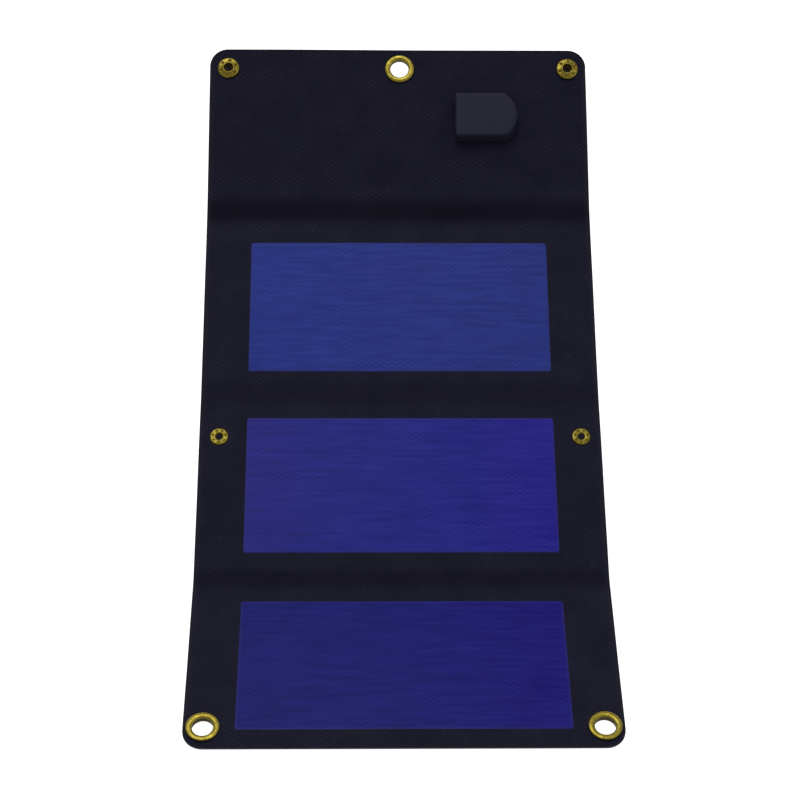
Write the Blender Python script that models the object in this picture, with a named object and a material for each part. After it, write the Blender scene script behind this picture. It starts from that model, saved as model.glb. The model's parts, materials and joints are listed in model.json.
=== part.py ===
"""Foldable camping solar panel: a flap with a USB box, three cell sections and three soft folds.

The panel lies face up, a little open at each fold. +X runs along its width, +Y towards the flap and +Z up.
The origin is the centre of the bounding box's bottom face. Every body is modelled flat, with Y measured along
the unfolded sheet from fold line A, and hangs from an empty that sits on its own crease.
"""

import math

import bmesh
import bpy
from mathutils import Matrix

MM = 0.001

# ---- driving dimensions, in millimetres and degrees ----
WIDTH = 220.0
FLAP_LENGTH = 101.5  # flap edge to fold line A
SECTION_LENGTHS = (114.0, 109.5, 104.8)  # fold lines A to B, B to C, and C to the free edge
CORNER_RADIUS = 10.4
BAND_A, BAND_B, BAND_C = 9.6, 7.7, 4.3  # width of each soft fold between its two creases
SHIFT_A, SHIFT_B = 1.05, 0.7  # how far the middle of a band lies from its fold line, towards the flap
REST_A, REST_B, REST_C = 9.0, 4.5, 16.5  # how far each fold is closed as the panel lies open

SECTION_THICK = 2.2
FLAP_THICK = 1.7
BAND_THICK = 1.2
CREASE_GAP = 0.75  # from a crease to the end of a section or of the flap
BAND_GAP = 0.2  # from a crease to the end of its soft band
LAYER_GAP = 0.1

CELL_WIDTH, CELL_LENGTH = 168.5, 80.2
CELL_MARGINS = (19.0, 13.7, 14.3)  # fold line to cell, in each section
CELL_THICK, FILM_THICK = 0.2, 0.2
CELL_POCKET_FLOOR = 0.5  # height above the section's middle plane
COVER_TOP = 0.2  # top of the back cover's rim, above the middle plane
COVER_FLOOR = 0.4  # cloth under the board
BOARD_THICK = 0.7
BOARD_HALF_WIDTH = 88.0
RIM, FREE_RIM = 4.0, 8.4  # cloth beyond the board, at a fold and at the free edge

CABLE_X, CABLE_WIDTH, CABLE_THICK = 90.7, 4.2, 0.3
CABLE_ROOM = 0.25  # clearance on each side of the flat cable
CABLE_END, LEAD_IN = 10.0, 9.2  # how far under the box the cable ends, and where its lead turns up

SNAP_X = 99.1
SOCKET_FROM_EDGE = 12.2
STUD_FROM_FOLD_B = 25.4
POST_RADIUS, POST_HOLE = 5.1, 1.65
EYELET_X = 100.0
EYELET_FROM_EDGE = 11.6
EYELET_OUTER, EYELET_HOLE, EYELET_BARREL = 8.5, 5.0, 5.45
EYELET_TOP_X, EYELET_TOP_FROM_EDGE = 0.8, 12.2
SEAT_INNER, SEAT_OUTER, SEAT_DEPTH = 7.0, 8.0, 1.0  # the washer's raised rim, behind the cloth

BOX_LEFT, BOX_RIGHT = 33.0, 69.4
BOX_FROM_EDGE, BOX_WIDTH = 29.5, 28.0
BOX_HEIGHT, BOX_BASE_HEIGHT, BOX_WALL = 9.2, 3.0, 1.2
BOX_END_RADIUS, BOX_FILLET = 16.8, 3.0
LID_DRAFT = 0.8  # how far the lid's sides lean in below its soft edge
LID_EDGE, LID_SHOULDER = 1.2, 0.8  # height and run of the lid's soft edge
PORT_SHELL = (14.0, 13.1, 5.3)  # depth, width and height of the USB socket's metal shell
PORT_WALL = 0.35
SCREW_SPREAD = 7.5
PILLAR_RADIUS, SCREW_HEAD, SCREW_THREAD = 2.2, 1.55, 0.8

ROUND = 40  # sides of a turned piece
SMALL_ROUND = 24

# ---- places along the unfolded sheet ----
FOLD_B = -SECTION_LENGTHS[0]
FOLD_C = FOLD_B - SECTION_LENGTHS[1]
FREE_EDGE = FOLD_C - SECTION_LENGTHS[2]
A1, A2 = SHIFT_A - BAND_A / 2, SHIFT_A + BAND_A / 2
B1, B2 = FOLD_B + SHIFT_B + BAND_B / 2, FOLD_B + SHIFT_B - BAND_B / 2
C1, C2 = FOLD_C + BAND_C / 2, FOLD_C - BAND_C / 2
STUD_Y = FOLD_B - STUD_FROM_FOLD_B
STUD_TIP_RADIUS, STUD_HEIGHT = 1.9, 3.6
BOX_TOP = FLAP_LENGTH - BOX_FROM_EDGE
BOX_Y = BOX_TOP - BOX_WIDTH / 2


# ---- bodies: name, crease it turns about, and its turn about +X from the body before it ----
class Body:
    """A rigid piece of the panel with its crease, as an empty that its parts hang from."""

    def __init__(self, name, crease, turn, parent=None):
        self.name, self.crease, self.parent = name, crease, parent
        self.turn = math.radians(turn)
        self.angle = self.turn + (parent.angle if parent else 0.0)
        self.y, self.z = parent.point(crease, 0.0) if parent else (crease, 0.0)
        self.frame = None

    def point(self, along, height):
        """Y and Z of a point of the unfolded sheet once the folds stand at rest."""
        y, z = along - self.crease, height
        c, s = math.cos(self.angle), math.sin(self.angle)
        return self.y + y * c - z * s, self.z + y * s + z * c


def make_bodies(tilt):
    """The panel's seven bodies, with section 1 as the root, turned by tilt as a whole."""
    section_1 = Body("section_1", A1, tilt)
    band_a = Body("band_a", A1, REST_A / 2, section_1)
    flap = Body("flap", A2, REST_A / 2, band_a)
    band_b = Body("band_b", B1, -REST_B / 2, section_1)
    section_2 = Body("section_2", B2, -REST_B / 2, band_b)
    band_c = Body("band_c", C1, -REST_C / 2, section_2)
    section_3 = Body("section_3", C2, -REST_C / 2, band_c)
    return {b.name: b for b in (section_1, band_a, flap, band_b, section_2, band_c, section_3)}


def standing_bodies():
    """The bodies with the tilt that puts section 1's edge at fold A and both studs on the ground."""
    heel = (A1 - CREASE_GAP, -SECTION_THICK / 2)
    toe = (STUD_Y + STUD_TIP_RADIUS, -SECTION_THICK / 2 - STUD_HEIGHT)
    level = make_bodies(0.0)
    heel_y, heel_z = level["section_1"].point(*heel)
    toe_y, toe_z = level["section_2"].point(*toe)
    bodies = make_bodies(-math.degrees(math.atan2(heel_z - toe_z, heel_y - toe_y)))
    far, _ = bodies["flap"].point(FLAP_LENGTH, -FLAP_THICK / 2)
    near, _ = bodies["section_3"].point(FREE_EDGE, -SECTION_THICK / 2)
    _, bottom = bodies["section_1"].point(*heel)
    for body in bodies.values():
        frame = bpy.data.objects.new(body.name + "_frame", None)
        frame.empty_display_size = 10 * MM
        bpy.context.scene.collection.objects.link(frame)
        body.frame = frame
        frame.rotation_euler = (body.turn, 0, 0)
        if body.parent:
            frame.parent = body.parent.frame
            frame.location = (0, (body.crease - body.parent.crease) * MM, 0)
        else:
            frame.location = (0, (body.y - (far + near) / 2) * MM, -bottom * MM + body.z * MM)
    return bodies


# ---- mesh helpers ----
def material(name, color, roughness, metallic=0.0, alpha=1.0):
    mat = bpy.data.materials.new(name)
    mat.use_nodes = True
    shader = mat.node_tree.nodes["Principled BSDF"]
    shader.inputs["Base Color"].default_value = (*color, 1.0)
    shader.inputs["Roughness"].default_value = roughness
    shader.inputs["Metallic"].default_value = metallic
    shader.inputs["Alpha"].default_value = alpha
    return mat


def add_object(name, mesh, body, mat=None):
    """Links a mesh, whose points are in the unfolded sheet's millimetres, to its body."""
    obj = bpy.data.objects.new(name, mesh)
    bpy.context.scene.collection.objects.link(obj)
    mesh.transform(Matrix.Scale(MM, 4) @ Matrix.Translation((0, -body.crease, 0)))
    obj.parent = body.frame
    if mat:
        mesh.materials.append(mat)
    else:
        obj.hide_render = True
        obj.display_type = "WIRE"
    return obj


def finished(bm, name, smooth=False):
    bmesh.ops.recalc_face_normals(bm, faces=bm.faces)
    mesh = bpy.data.meshes.new(name)
    bm.to_mesh(mesh)
    bm.free()
    if smooth:
        mesh.shade_smooth()
        mesh.set_sharp_from_angle(angle=math.radians(40))
    return mesh


def prism(name, outline, bottom, top, body, mat=None):
    """A flat piece: a closed outline of (x, y) points raised from bottom to top."""
    bm = bmesh.new()
    face = bm.faces.new([bm.verts.new((x, y, bottom)) for x, y in outline])
    raised = bmesh.ops.extrude_face_region(bm, geom=[face])
    verts = [v for v in raised["geom"] if isinstance(v, bmesh.types.BMVert)]
    bmesh.ops.translate(bm, vec=(0, 0, top - bottom), verts=verts)
    return add_object(name, finished(bm, name), body, mat)


def turned(name, profile, centre, body, mat, sides=ROUND):
    """A round piece: a closed profile of (radius, height) points spun about its own upright axis."""
    bm = bmesh.new()
    rings = []
    for radius, height in profile:
        count = sides if radius > 0 else 1
        ring = []
        for i in range(count):
            a = 2 * math.pi * i / sides
            x, y = centre[0] + radius * math.cos(a), centre[1] + radius * math.sin(a)
            ring.append(bm.verts.new((x, y, height)))
        rings.append(ring)
    for ring, following in zip(rings, rings[1:] + rings[:1]):
        if len(ring) == len(following) == 1:
            continue
        for i in range(sides):
            j = (i + 1) % sides
            corners = [ring[i % len(ring)], ring[j % len(ring)]]
            corners += [following[j % len(following)], following[i % len(following)]]
            bm.faces.new(list(dict.fromkeys(corners)))
    return add_object(name, finished(bm, name, smooth=True), body, mat)


def loft(name, levels, body, mat=None):
    """A solid through outlines of equally many points, given from bottom to top as (outline, height)."""
    bm = bmesh.new()
    rings = [[bm.verts.new((x, y, height)) for x, y in outline] for outline, height in levels]
    for ring, following in zip(rings, rings[1:]):
        for i in range(len(ring)):
            j = (i + 1) % len(ring)
            bm.faces.new((ring[i], ring[j], following[j], following[i]))
    bm.faces.new(rings[0])
    bm.faces.new(rings[-1])
    return add_object(name, finished(bm, name), body, mat)


def cut(obj, *cutters, operation="DIFFERENCE"):
    for cutter in cutters:
        boolean = obj.modifiers.new(cutter.name, "BOOLEAN")
        boolean.operation = operation
        boolean.object = cutter
        boolean.solver = "EXACT"


def arc(centre, radius, start, end, steps):
    """Points of an arc, with angles in degrees."""
    turn = [math.radians(start + (end - start) * i / steps) for i in range(steps + 1)]
    return [(centre[0] + radius * math.cos(a), centre[1] + radius * math.sin(a)) for a in turn]


def rectangle(x0, x1, y0, y1):
    return [(x0, y0), (x1, y0), (x1, y1), (x0, y1)]


def sheet_outline(low, high, inset=0.0, round_top=False, round_bottom=False):
    """A length of the sheet at full width, with rounded corners at a free edge."""
    x, radius, steps = WIDTH / 2 - inset, CORNER_RADIUS - inset, 8
    points = []
    for sign, y, rounded in ((-1, low, round_bottom), (1, high, round_top)):
        for side in (sign, -sign):
            if rounded:
                start = {(-1, -1): 180, (1, -1): 270, (1, 1): 0, (-1, 1): 90}[(side, sign)]
                centre = (side * (x - radius), y - sign * radius)
                points += arc(centre, radius, start, start + 90, steps)
            else:
                points.append((side * x, y))
    return points


def circle(centre, radius, sides=SMALL_ROUND):
    return arc(centre, radius, 0, 360 - 360 / sides, sides - 1)


def hole(name, centre, radius, body, reach=6.0, sides=SMALL_ROUND):
    return prism(name, circle(centre, radius, sides), -reach, reach, body)


# ---- the sheet: sections, flap and soft folds ----
def flat_cable(name, low, high, body, mat):
    x0, x1 = CABLE_X - CABLE_WIDTH / 2, CABLE_X + CABLE_WIDTH / 2
    return prism(name, rectangle(x0, x1, low, high), -CABLE_THICK / 2, CABLE_THICK / 2, body, mat)


def cable_channel(name, low, high, bottom, top, body):
    half = CABLE_WIDTH / 2 + CABLE_ROOM
    return prism(name, rectangle(CABLE_X - half, CABLE_X + half, low, high), bottom, top, body)


def cell_section(number, body, low, high, cell_top, mats, free_edge=False):
    """One cell section from the back: cloth cover, board, cable, front cloth, cell and clear film."""
    name, half = f"section_{number}", SECTION_THICK / 2
    outline = sheet_outline(low, high, round_bottom=free_edge)
    cover_floor = COVER_FLOOR - half
    cover = prism(name + "_back_cover", outline, -half, COVER_TOP, body, mats["cloth"])
    front = prism(name + "_front_cloth", outline, COVER_TOP + LAYER_GAP, half, body, mats["cloth"])

    room, reach = LAYER_GAP * 3, BOARD_HALF_WIDTH
    board_low, board_high = low + (FREE_RIM if free_edge else RIM), high - RIM
    board_bottom = cover_floor + LAYER_GAP
    board = rectangle(-reach, reach, board_low, board_high)
    pocket = rectangle(-reach - room, reach + room, board_low - room, board_high + room)
    prism(name + "_board", board, board_bottom, board_bottom + BOARD_THICK, body, mats["board"])
    well = prism(name + "_board_well", pocket, cover_floor, 1.0, body)
    cable_low = cell_top - CELL_LENGTH / 2 if free_edge else low + LAYER_GAP
    channel_low = cable_low - room if free_edge else low - 1
    channel = cable_channel(name + "_channel", channel_low, high + 1, cover_floor + 0.2, 1.0, body)
    cut(cover, well, channel)
    flat_cable(name + "_cable", cable_low, high - LAYER_GAP, body, mats["cable"])

    x, y0, y1 = CELL_WIDTH / 2, cell_top - CELL_LENGTH, cell_top
    cell_well = rectangle(-x - room, x + room, y0 - room, y1 + room)
    cut(front, prism(name + "_cell_well", cell_well, CELL_POCKET_FLOOR, 2.0, body))
    cell, cell_bottom = rectangle(-x, x, y0, y1), CELL_POCKET_FLOOR + LAYER_GAP
    prism(name + "_solar_cell", cell, cell_bottom, cell_bottom + CELL_THICK, body, mats["cell"])
    prism(name + "_clear_film", cell, half - FILM_THICK, half, body, mats["film"])
    return cover, front


def soft_band(letter, body, low, high, mats):
    """A soft fold: thin cloth with the flat cable running through a slot in it."""
    name, half = "fold_" + letter, BAND_THICK / 2
    low, high = low + BAND_GAP, high - BAND_GAP
    band = prism(name + "_strip", sheet_outline(low, high), -half, half, body, mats["cloth"])
    slot = CABLE_THICK / 2 + LAYER_GAP
    cut(band, cable_channel(name + "_slot", low - 1, high + 1, -slot, slot, body))
    flat_cable(name + "_cable", low, high, body, mats["cable"])


def make_flap(body, mats):
    """The flap's two cloths with the cable in a groove that leads to the USB box."""
    half, low = FLAP_THICK / 2, A2 + CREASE_GAP
    outline = sheet_outline(low, FLAP_LENGTH, round_top=True)
    back = prism("flap_back_cloth", outline, -half, COVER_TOP, body, mats["cloth"])
    front = prism("flap_front_cloth", outline, COVER_TOP + LAYER_GAP, half, body, mats["cloth"])
    inner, outer = CABLE_X - CABLE_WIDTH / 2, CABLE_X + CABLE_WIDTH / 2
    end, low_y, high_y = BOX_RIGHT - CABLE_END, BOX_Y - CABLE_WIDTH / 2, BOX_Y + CABLE_WIDTH / 2
    route = [(inner, low + LAYER_GAP), (outer, low + LAYER_GAP), (outer, high_y)]
    route += [(end, high_y), (end, low_y), (inner, low_y)]
    prism("flap_cable", route, -CABLE_THICK / 2, CABLE_THICK / 2, body, mats["cable"])
    room, top = CABLE_ROOM, 1.0
    groove = [(inner - room, low - 1), (outer + room, low - 1), (outer + room, high_y + room)]
    groove += [(end - room, high_y + room), (end - room, low_y - room), (inner - room, low_y - room)]
    cut(back, prism("flap_groove", groove, -CABLE_THICK, top, body))
    return back, front


# ---- brass hardware ----
def eyelet(name, centre, thick, body, mats):
    """A two-part eyelet: a barrel with a rolled flange in front, set over a washer behind."""
    front, back = thick / 2, -thick / 2
    shoulder, crown = front + 0.4, 0.6
    middle, reach = (EYELET_OUTER + EYELET_HOLE) / 2, (EYELET_OUTER - EYELET_HOLE) / 2
    rolled = [(middle + reach * math.cos(a), shoulder + crown * math.sin(a))
              for a in (math.pi * i / 8 for i in range(9))]
    profile = [(EYELET_OUTER, front + LAYER_GAP), *rolled]
    profile += [(EYELET_HOLE, back - 0.6), (EYELET_HOLE + 0.3, back - 0.85)]
    profile += [(6.3, back - 0.9), (6.5, back - 0.75), (6.3, back - 0.6), (EYELET_BARREL, back - 0.6)]
    profile += [(EYELET_BARREL, front + LAYER_GAP)]
    turned(name, profile, centre, body, mats["brass"])
    washer = [(5.75, back - 0.1), (8.3, back - 0.1), (8.3, back - 0.7), (SEAT_OUTER, back - SEAT_DEPTH)]
    washer += [(SEAT_INNER, back - SEAT_DEPTH), (6.8, back - 0.5), (5.75, back - 0.5)]
    turned(name + "_washer", washer, centre, body, mats["brass"])
    return hole(name + "_hole", centre, EYELET_BARREL + 0.2, body, sides=ROUND)


def snap_socket(side, centre, body, mats):
    """The socket half of a snap: a ring on the flap's face held by a cap whose stem comes from behind."""
    front, back = FLAP_THICK / 2, -FLAP_THICK / 2
    ring = [(2.0, 0.1), (6.0, 0.1), (6.3, 0.3), (6.3, 0.8), (6.0, 1.3), (5.4, 1.5), (4.4, 1.65), (3.6, 2.0)]
    ring += [(3.1, 2.2), (2.8, 2.1), (2.75, 1.8), (2.75, 0.6), (2.0, 0.6)]
    turned("snap_socket_" + side, [(r, front + z) for r, z in ring], centre, body, mats["brass"], SMALL_ROUND)
    dome = [(0, back - 1.1), (2.4, back - 1.05), (4.6, back - 0.85), (6.0, back - 0.5), (6.3, back - 0.25)]
    stem = [(6.3, back - 0.1), (1.8, back - 0.1), (1.8, front + 0.7), (2.4, front + 0.7), (2.4, front + 0.9)]
    stem += [(1.2, front + 0.95), (1.2, back - 0.4), (0, back - 0.4)]
    turned("snap_cap_" + side, dome + stem, centre, body, mats["brass"], SMALL_ROUND)
    return hole("snap_cap_hole_" + side, centre, 2.0, body)


def snap_stud(side, centre, body, mats):
    """The stud half of a snap: a flat hollow post in front, set into a stud that stands out behind."""
    front, back = SECTION_THICK / 2, -SECTION_THICK / 2
    post = [(1.9, front + 0.1), (POST_RADIUS - 0.2, front + 0.1), (POST_RADIUS, front + 0.25)]
    post += [(POST_RADIUS - 0.1, front + 0.5), (POST_RADIUS - 0.5, front + 0.68), (3.0, front + 0.75)]
    post += [(2.0, front + 0.68), (POST_HOLE, front + 0.4), (POST_HOLE, back - 2.6), (1.9, back - 2.6)]
    turned("snap_post_" + side, post, centre, body, mats["brass"], SMALL_ROUND)
    stud = [(2.05, 0.1), (5.0, 0.1), (5.0, 0.45), (4.6, 0.7), (2.9, 0.8), (2.4, 1.2), (2.4, 1.9), (2.6, 2.5)]
    stud += [(2.5, 3.2), (STUD_TIP_RADIUS, STUD_HEIGHT), (0, STUD_HEIGHT), (0, 3.0), (2.05, 3.0)]
    turned("snap_stud_" + side, [(r, back - z) for r, z in stud], centre, body, mats["brass"], SMALL_ROUND)
    return hole("snap_post_hole_" + side, centre, 2.1, body)


# ---- the USB box on the flap ----
def box_outline(inset=0.0, port_inset=None):
    """The box seen from above: flat where the port is, and bowed out at the other end."""
    half = BOX_WIDTH / 2 - inset
    radius, fillet = BOX_END_RADIUS - inset, max(BOX_FILLET - inset, 0.6)
    centre_x = BOX_RIGHT - BOX_END_RADIUS
    reach = radius - fillet
    lean = math.degrees(math.asin((half - fillet) / reach))
    corner_x = centre_x + reach * math.cos(math.radians(lean))
    left = BOX_LEFT + (inset if port_inset is None else port_inset)
    points = [(left, BOX_Y + half), (left, BOX_Y - half)]
    points += arc((corner_x, BOX_Y - half + fillet), fillet, -90, -lean, 4)
    points += arc((centre_x, BOX_Y), radius, -lean, lean, 10)[1:-1]
    points += arc((corner_x, BOX_Y + half - fillet), fillet, lean, 90, 4)
    return points


def make_box(body, mats, flap_front):
    """The regulator box: base, lid, circuit board with its components, and the USB socket."""
    floor = FLAP_THICK / 2 + LAYER_GAP
    split, top = floor + BOX_BASE_HEIGHT, floor + BOX_HEIGHT - LAYER_GAP
    wall, crest = BOX_WALL, LID_DRAFT + LID_SHOULDER
    base = prism("usb_box_base", box_outline(), floor, split - LAYER_GAP, body, mats["housing"])
    sides = [(box_outline(), split), (box_outline(LID_DRAFT, 0.0), top - LID_EDGE)]
    lid = loft("usb_box_lid", sides + [(box_outline(crest, LID_SHOULDER), top)], body, mats["housing"])
    board_floor = floor + 1.6
    cut(base, prism("usb_box_base_well", box_outline(wall), floor + 1.0, split + 1, body))
    well = [(box_outline(wall), split - 1), (box_outline(wall), split)]
    cut(lid, loft("usb_box_lid_well", well + [(box_outline(wall + crest, wall), top - 1.0)], body))

    depth, width, height = PORT_SHELL
    board_top = board_floor + 1.0
    shell_low, shell_high = board_top + LAYER_GAP, board_top + LAYER_GAP + height
    reach = width / 2 + 0.2
    port = rectangle(BOX_LEFT - 1, BOX_LEFT + BOX_WALL + 1, BOX_Y - reach, BOX_Y + reach)
    port_cut = prism("port_opening", port, shell_low - 0.1, shell_high + 0.2, body)
    cut(lid, port_cut)
    cut(base, port_cut)

    outer = rectangle(BOX_LEFT + 0.2, BOX_LEFT + 0.2 + depth, BOX_Y - width / 2, BOX_Y + width / 2)
    reach = width / 2 - PORT_WALL
    bore = rectangle(BOX_LEFT - 1, BOX_LEFT + depth - 0.6, BOX_Y - reach, BOX_Y + reach)
    shell = prism("usb_shell", outer, shell_low, shell_high, body, mats["steel"])
    cut(shell, prism("usb_shell_bore", bore, shell_low + PORT_WALL, shell_high - PORT_WALL, body))
    tongue = rectangle(BOX_LEFT + 1.6, BOX_LEFT + depth - 0.9, BOX_Y - 5.5, BOX_Y + 5.5)
    tongue_low = shell_high - PORT_WALL - 2.2
    prism("usb_tongue", tongue, tongue_low, tongue_low + 1.8, body, mats["white_plastic"])

    board = rectangle(BOX_LEFT + 1.6, BOX_LEFT + 25.0, BOX_Y - 11.0, BOX_Y + 11.0)
    prism("circuit_board", board, board_floor, board_top, body, mats["board_green"])
    seat = board_top + LAYER_GAP
    coil = [(0, seat), (2.9, seat), (3.1, seat + 0.3), (3.1, seat + 3.2), (2.8, seat + 3.5), (0, seat + 3.5)]
    turned("inductor", coil, (BOX_LEFT + 20.6, BOX_Y + 5.6), body, mats["ferrite"], SMALL_ROUND)
    chip = rectangle(BOX_LEFT + 17.6, BOX_LEFT + 22.4, BOX_Y - 3.4, BOX_Y + 0.4)
    prism("regulator_chip", chip, seat, seat + 1.4, body, mats["ferrite"])
    can = [(0, seat), (2.0, seat), (2.0, seat + 4.0), (1.7, seat + 4.3), (0, seat + 4.3)]
    turned("capacitor", can, (BOX_LEFT + 20.2, BOX_Y - 7.0), body, mats["steel"], SMALL_ROUND)
    diode = rectangle(BOX_LEFT + 8.0, BOX_LEFT + 12.3, BOX_Y + 7.4, BOX_Y + 9.8)
    prism("blocking_diode", diode, seat, seat + 1.6, body, mats["ferrite"])

    screw_x = BOX_RIGHT - 8.2
    for number, y in ((1, BOX_Y - SCREW_SPREAD), (2, BOX_Y + SCREW_SPREAD)):
        centre = (screw_x, y)
        round_post = circle(centre, PILLAR_RADIUS)
        pillar = prism(f"screw_pillar_{number}", round_post, split + 0.2, top - 0.9, body)
        cut(lid, pillar, operation="UNION")
        drill = hole(f"screw_drill_{number}", centre, 0.95, body, reach=top - 1.6)
        cut(lid, drill)
        cut(base, drill, hole(f"screw_sink_{number}", centre, 1.8, body, reach=floor + 0.7))
        screw = [(0, floor + 0.1), (SCREW_HEAD, floor + 0.1), (SCREW_HEAD, floor + 0.5)]
        screw += [(SCREW_THREAD, floor + 0.62), (SCREW_THREAD, top - 2.2), (0, top - 1.8)]
        turned(f"box_screw_{number}", screw, centre, body, mats["steel"], 16)

    lead_x = BOX_RIGHT - LEAD_IN
    lead = rectangle(lead_x, lead_x + 0.4, BOX_Y - 1.6, BOX_Y + 1.6)
    passage = rectangle(lead_x - 0.25, lead_x + 0.65, BOX_Y - 1.85, BOX_Y + 1.85)
    prism("cable_riser", lead, CABLE_THICK / 2 + LAYER_GAP, board_floor + 0.6, body, mats["cable"])
    way_up = prism("riser_passage", passage, -0.05 + CABLE_THICK, board_floor, body)
    cut(flap_front, way_up)
    cut(base, way_up)


def make_materials():
    return {
        "cloth": material("black_laminate", (0.010, 0.010, 0.018), 0.55),
        "cell": material("solar_cell", (0.022, 0.022, 0.19), 0.25),
        "film": material("clear_film", (0.05, 0.05, 0.25), 0.15, alpha=0.3),
        "board": material("stiffener_board", (0.05, 0.05, 0.05), 0.7),
        "cable": material("flat_cable", (0.45, 0.20, 0.05), 0.4),
        "brass": material("brass", (0.45, 0.38, 0.06), 0.3, metallic=1.0),
        "housing": material("box_housing", (0.022, 0.022, 0.034), 0.45),
        "steel": material("steel", (0.6, 0.6, 0.6), 0.3, metallic=1.0),
        "white_plastic": material("tongue_plastic", (0.7, 0.7, 0.7), 0.4),
        "board_green": material("circuit_board", (0.02, 0.12, 0.05), 0.5),
        "ferrite": material("component_black", (0.03, 0.03, 0.03), 0.5),
    }


def build():
    for obj in list(bpy.data.objects):
        bpy.data.objects.remove(obj)
    mats = make_materials()
    bodies = standing_bodies()
    flap, section_2, section_3 = bodies["flap"], bodies["section_2"], bodies["section_3"]

    flap_back, flap_front = make_flap(flap, mats)
    make_box(flap, mats, flap_front)
    hanger_place = (EYELET_TOP_X, FLAP_LENGTH - EYELET_TOP_FROM_EDGE)
    hanger = eyelet("eyelet_top", hanger_place, FLAP_THICK, flap, mats)
    cut(flap_back, hanger)
    cut(flap_front, hanger)

    soft_band("a", bodies["band_a"], A1, A2, mats)
    soft_band("b", bodies["band_b"], B2, B1, mats)
    soft_band("c", bodies["band_c"], C2, C1, mats)

    gap = CREASE_GAP
    cell_1, cell_2, cell_3 = (fold - margin for fold, margin in zip((0.0, FOLD_B, FOLD_C), CELL_MARGINS))
    cell_section(1, bodies["section_1"], B1 + gap, A1 - gap, cell_1, mats)
    cover_2, front_2 = cell_section(2, section_2, C1 + gap, B2 - gap, cell_2, mats)
    cover_3, front_3 = cell_section(3, section_3, FREE_EDGE, C2 - gap, cell_3, mats, free_edge=True)

    for side, sign in (("left", -1), ("right", 1)):
        cap_hole = snap_socket(side, (sign * SNAP_X, FLAP_LENGTH - SOCKET_FROM_EDGE), flap, mats)
        post_hole = snap_stud(side, (sign * SNAP_X, STUD_Y), section_2, mats)
        corner = (sign * EYELET_X, FREE_EDGE + EYELET_FROM_EDGE)
        barrel_hole = eyelet("eyelet_" + side, corner, SECTION_THICK, section_3, mats)
        for cloth, opening in ((flap_back, cap_hole), (flap_front, cap_hole), (cover_2, post_hole),
                               (front_2, post_hole), (cover_3, barrel_hole), (front_3, barrel_hole)):
            cut(cloth, opening)


build()
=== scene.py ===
import json
import math

import bpy
import numpy as np
from mathutils import Euler, Matrix, Vector


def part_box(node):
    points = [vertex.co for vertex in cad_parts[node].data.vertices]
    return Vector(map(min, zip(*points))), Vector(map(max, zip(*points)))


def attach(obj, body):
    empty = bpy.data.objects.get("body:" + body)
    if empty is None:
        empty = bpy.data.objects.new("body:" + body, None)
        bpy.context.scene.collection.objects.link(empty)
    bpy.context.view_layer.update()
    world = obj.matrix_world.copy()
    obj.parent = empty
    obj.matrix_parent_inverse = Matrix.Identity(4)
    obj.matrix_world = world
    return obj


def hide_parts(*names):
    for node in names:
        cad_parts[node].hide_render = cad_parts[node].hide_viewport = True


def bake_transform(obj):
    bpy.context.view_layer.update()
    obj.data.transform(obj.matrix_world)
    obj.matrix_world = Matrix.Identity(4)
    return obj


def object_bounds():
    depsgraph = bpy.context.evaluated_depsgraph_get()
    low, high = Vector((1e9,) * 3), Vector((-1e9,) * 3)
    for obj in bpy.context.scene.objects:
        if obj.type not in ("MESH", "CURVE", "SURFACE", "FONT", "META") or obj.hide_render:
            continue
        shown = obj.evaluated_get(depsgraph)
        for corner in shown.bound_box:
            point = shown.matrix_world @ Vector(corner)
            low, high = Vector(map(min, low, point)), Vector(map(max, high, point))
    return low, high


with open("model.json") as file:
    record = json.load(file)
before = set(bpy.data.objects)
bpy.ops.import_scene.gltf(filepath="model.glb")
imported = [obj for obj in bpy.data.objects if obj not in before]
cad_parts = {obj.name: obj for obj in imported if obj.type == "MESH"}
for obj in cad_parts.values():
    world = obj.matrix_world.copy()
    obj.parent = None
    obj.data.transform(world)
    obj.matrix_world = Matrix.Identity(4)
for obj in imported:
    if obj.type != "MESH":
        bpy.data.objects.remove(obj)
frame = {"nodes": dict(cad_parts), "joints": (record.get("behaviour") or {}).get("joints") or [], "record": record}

CAD_BOX = [list(corner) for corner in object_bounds()]
MM = 0.001

# ---- the camera, at the photograph's angle ----
camera = bpy.data.objects.new("camera", bpy.data.cameras.new("camera"))
camera.data.sensor_width, camera.data.lens = 36.0, 90.0
camera.location = (-0.0206, -0.4192, 1.0286)
camera.rotation_euler = Euler([math.radians(a) for a in (21.95, -0.99, -0.39)], "XYZ")
bpy.context.scene.collection.objects.link(camera)
bpy.context.scene.camera = camera

# ---- the frame: creases, panels and the middle line of the sheet ----
JOINTS = {j["name"]: Vector(j["pos_m"]) for j in frame["joints"]}
SEATS = {m["name"]: Vector(m["axis"]) for m in frame["record"]["mounts"]}
CREASES = [JOINTS[n] for n in ("fold_c_outer", "fold_c_inner", "fold_b_outer", "fold_b_inner",
                               "fold_a_inner", "fold_a_outer")]


def cad_points(node):
    """The corners of a CAD node, as an array."""
    return np.array([v.co for v in frame["nodes"][node].data.vertices])


def far_end(node, crease, up):
    """The point of the middle plane above or below a body's far edge, seen from its crease."""
    along = Vector((0, up.z, -up.y))
    reach = (cad_points(node) - np.array(crease)) @ np.array(along)
    return crease + along * float(max(reach, key=abs))


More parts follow.
